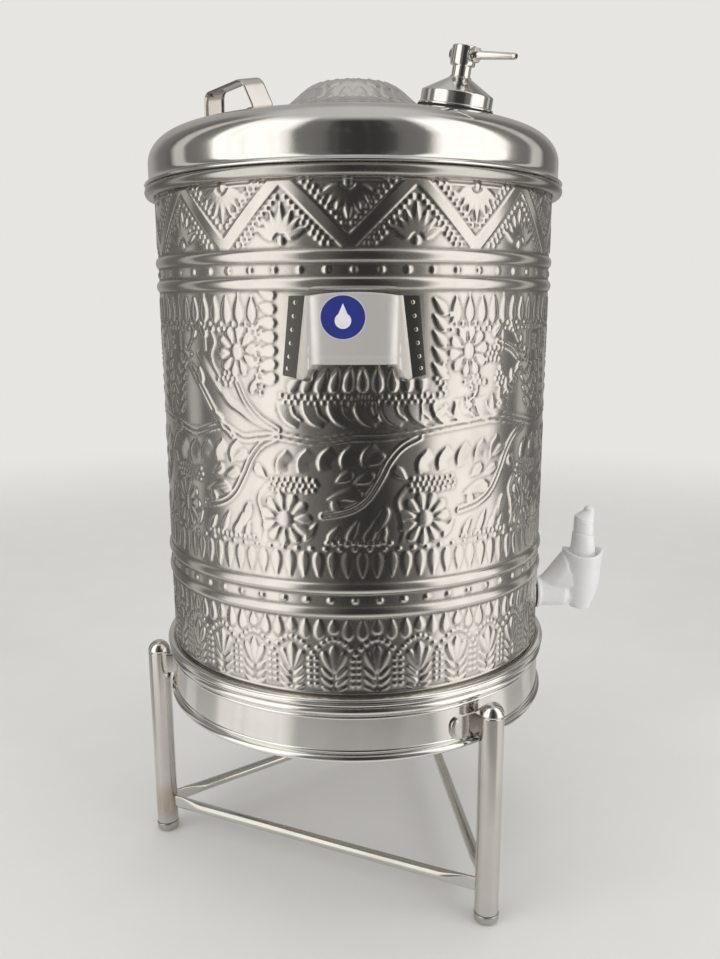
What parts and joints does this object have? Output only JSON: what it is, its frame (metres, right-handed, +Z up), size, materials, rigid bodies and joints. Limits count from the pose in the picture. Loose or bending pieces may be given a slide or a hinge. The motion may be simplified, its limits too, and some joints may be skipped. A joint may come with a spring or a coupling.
{
  "type": "steel water cooler",
  "caption": "Round embossed steel water drum with a rolled rim, dished lid, lid pump, side tap and pocket handles, on a tube tripod stand.",
  "frame": {"origin": "on the drum's axis at floor level, the middle of the circle of the three feet", "axes": "+Z up along the drum's axis, -Y towards the label handle, +X towards the tap"},
  "size_m": [0.4092, 0.364, 0.6606],
  "materials": {
    "embossed_steel": "bright stainless sheet with pressed ornament",
    "polished_steel": "polished stainless sheet",
    "steel": "drawn stainless tube and plate",
    "tap_plastic": "white moulded plastic, slightly translucent",
    "pump_plastic": "natural moulded plastic",
    "rubber": "black rubber",
    "label": "blue printed film"
  },
  "bodies": {
    "stand": {"stand_hoop": "polished_steel", "leg_left": "steel", "leg_right": "steel", "leg_rear": "steel", "leg_caps": "polished_steel", "foot_plugs": "steel", "brace_front": "steel", "brace_left": "steel", "brace_right": "steel", "leg_brackets": "polished_steel"},
    "drum": {"drum_shell": "embossed_steel", "rim_wire": "steel", "drum_floor": "steel", "foot_ring": "polished_steel", "front_handle": "polished_steel", "rear_handle": "polished_steel", "handle_label": "label", "tap_body": "tap_plastic", "tap_outer_washer": "rubber", "tap_inner_washer": "rubber", "tap_lock_nut": "tap_plastic", "tap_bonnet": "tap_plastic"},
    "tap_valve": {"tap_plug": "tap_plastic", "tap_seal": "rubber"},
    "lid": {"lid_shell": "polished_steel", "locating_ring": "steel", "strap_handle": "polished_steel", "pump_gasket": "rubber", "pump_collar": "polished_steel", "guide_bush": "pump_plastic", "pump_cylinder": "pump_plastic", "pump_lower_washer": "rubber", "pump_lock_nut": "pump_plastic", "valve_ball": "steel", "dip_tube": "pump_plastic", "dip_strainer": "pump_plastic", "pump_spring": "steel"},
    "pump_plunger": {"piston_rod": "steel", "piston": "pump_plastic", "piston_seal": "rubber"},
    "pump_spray": {"pump_head": "polished_steel", "spout_nut": "polished_steel", "spout_tube": "polished_steel", "head_plug": "polished_steel"}
  },
  "joints": [
    {"name": "drum_lift", "type": "slide", "parent": "stand", "child": "drum", "axis": [0, 0, 1], "range_m": [0, 0.06]},
    {"name": "lid_lift", "type": "slide", "parent": "drum", "child": "lid", "axis": [0, 0, 1], "range_m": [0, 0.42]},
    {"name": "tap_turn", "type": "hinge", "parent": "drum", "child": "tap_valve", "pos_m": [0.2047, 0, 0.224], "axis": [0, 0, 1], "range_deg": [0, 90]},
    {"name": "pump_press", "type": "slide", "parent": "lid", "child": "pump_plunger", "axis": [-0.1414, 0.157, -0.9774], "range_m": [0, 0.0065], "stiffness_N_per_m": 400, "springref_m": -0.004, "deforming": ["pump_spring"]},
    {"name": "head_turn", "type": "hinge", "parent": "pump_plunger", "child": "pump_spray", "pos_m": [0.07765, -0.08623, 0.64547], "axis": [0.1414, -0.157, 0.9774], "continuous": true}
  ]
}
